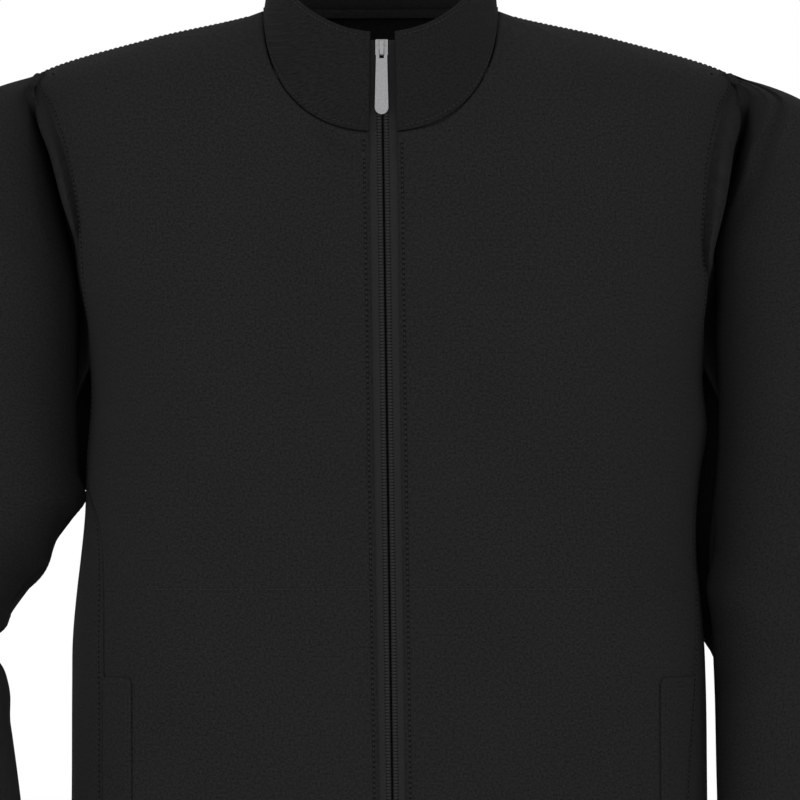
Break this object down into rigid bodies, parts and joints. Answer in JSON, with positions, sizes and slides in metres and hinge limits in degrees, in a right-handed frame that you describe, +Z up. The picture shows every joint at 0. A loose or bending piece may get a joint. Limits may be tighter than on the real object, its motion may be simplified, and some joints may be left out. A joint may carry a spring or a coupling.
{
  "type": "softshell jacket",
  "caption": "Softshell jacket with stand-up collar, exposed centre zip, side panels and hand pockets, filled out as worn by nobody.",
  "frame": {"origin": "In the neck opening, level with the points where the shoulder seams meet the neck, where a wearer or a bust fills it.", "axes": "+Z up along the wearer's spine; the wearer faces -Y, so the wearer's right is -X."},
  "size_m": [0.7177, 0.2657, 0.762],
  "materials": {
    "softshell": "matt finely woven face",
    "collar_cloth": "matt, two layers",
    "zip_tape": "woven tape, slight sheen",
    "zip_metal": "satin"
  },
  "bodies": {
    "jacket": {"front_right": "softshell", "front_left": "softshell", "side_panel_right": "softshell", "side_panel_left": "softshell", "back": "softshell", "sleeve_right": "softshell", "sleeve_left": "softshell", "pocket_welt_right": "softshell", "pocket_welt_left": "softshell", "collar": "collar_cloth", "zip_tape_right": "zip_tape", "zip_tape_left": "zip_tape", "zip_slider": "zip_metal", "zip_box": "zip_metal"},
    "pull_tab": {"pull_tab": "zip_metal"}
  },
  "joints": [
    {"name": "tab_swing", "type": "hinge", "parent": "jacket", "child": "pull_tab", "pos_m": [-0.00974, -0.10044, -0.0285], "axis": [-1, 0, 0], "range_deg": [0, 165]}
  ]
}
